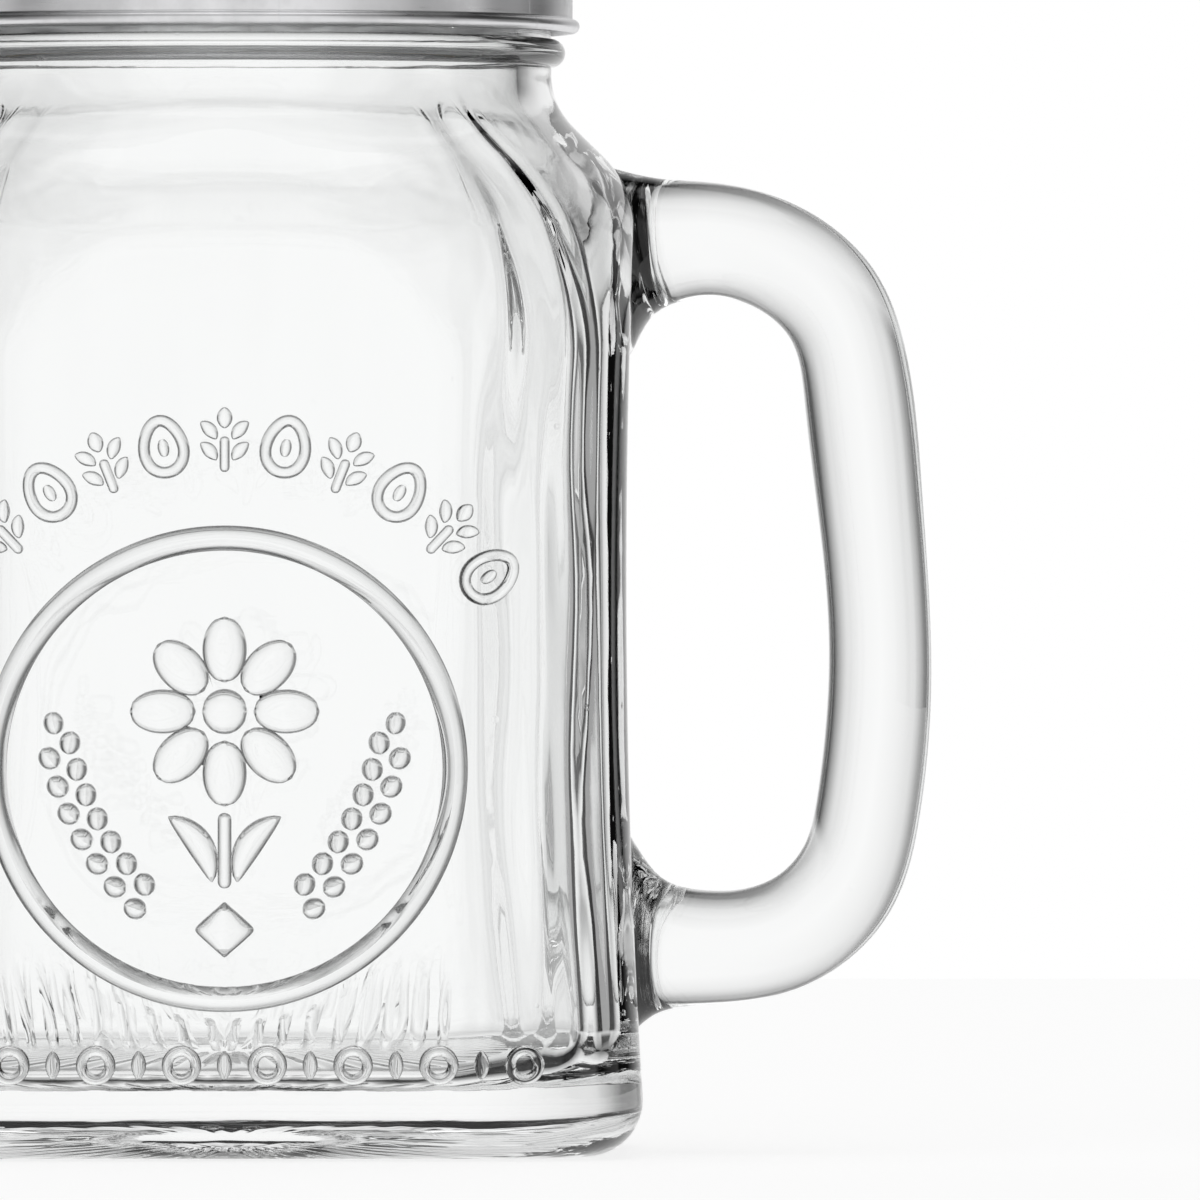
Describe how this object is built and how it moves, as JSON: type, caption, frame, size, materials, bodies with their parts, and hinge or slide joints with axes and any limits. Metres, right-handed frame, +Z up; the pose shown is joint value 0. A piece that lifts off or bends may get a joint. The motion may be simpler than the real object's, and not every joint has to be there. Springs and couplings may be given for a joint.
{
  "type": "handled glass drinking jar",
  "caption": "Square clear glass drinking jar with a loop handle, raised emblem ring, threaded neck and a two-piece screw closure.",
  "frame": {"origin": "centre of the jar's flat base, on the jar's upright axis", "axes": "+Z up along the jar's axis; +X towards the handle; -Y is the front panel with the raised ring"},
  "size_m": [0.1191, 0.0886, 0.1361],
  "materials": {
    "clear_glass": "fire-polished pressed glass, faint waviness and a few seeds",
    "disc_tinplate": "bright tinplate, fine rolled grain",
    "band_tinplate": "bright tinplate, slightly dulled, fine rolled grain",
    "soft_seal": "matt moulded sealing compound"
  },
  "bodies": {
    "jar": {"glass_body": "clear_glass", "glass_handle": "clear_glass"},
    "lid": {"lid_disc": "disc_tinplate", "sealing_ring": "soft_seal"},
    "band": {"screw_band": "band_tinplate"}
  },
  "joints": [
    {"name": "lid_rise", "type": "slide", "parent": "jar", "child": "lid", "axis": [0, 0, 1], "range_m": [0, 0.0204]},
    {"name": "band_turn", "type": "hinge", "parent": "lid", "child": "band", "pos_m": [0, 0, 0.127], "axis": [0, 0, 1], "range_deg": [0, 1440]}
  ],
  "couplings": [
    {"joint": "lid_rise", "follows": "band_turn", "m_per_rad": 0.00080851}
  ]
}
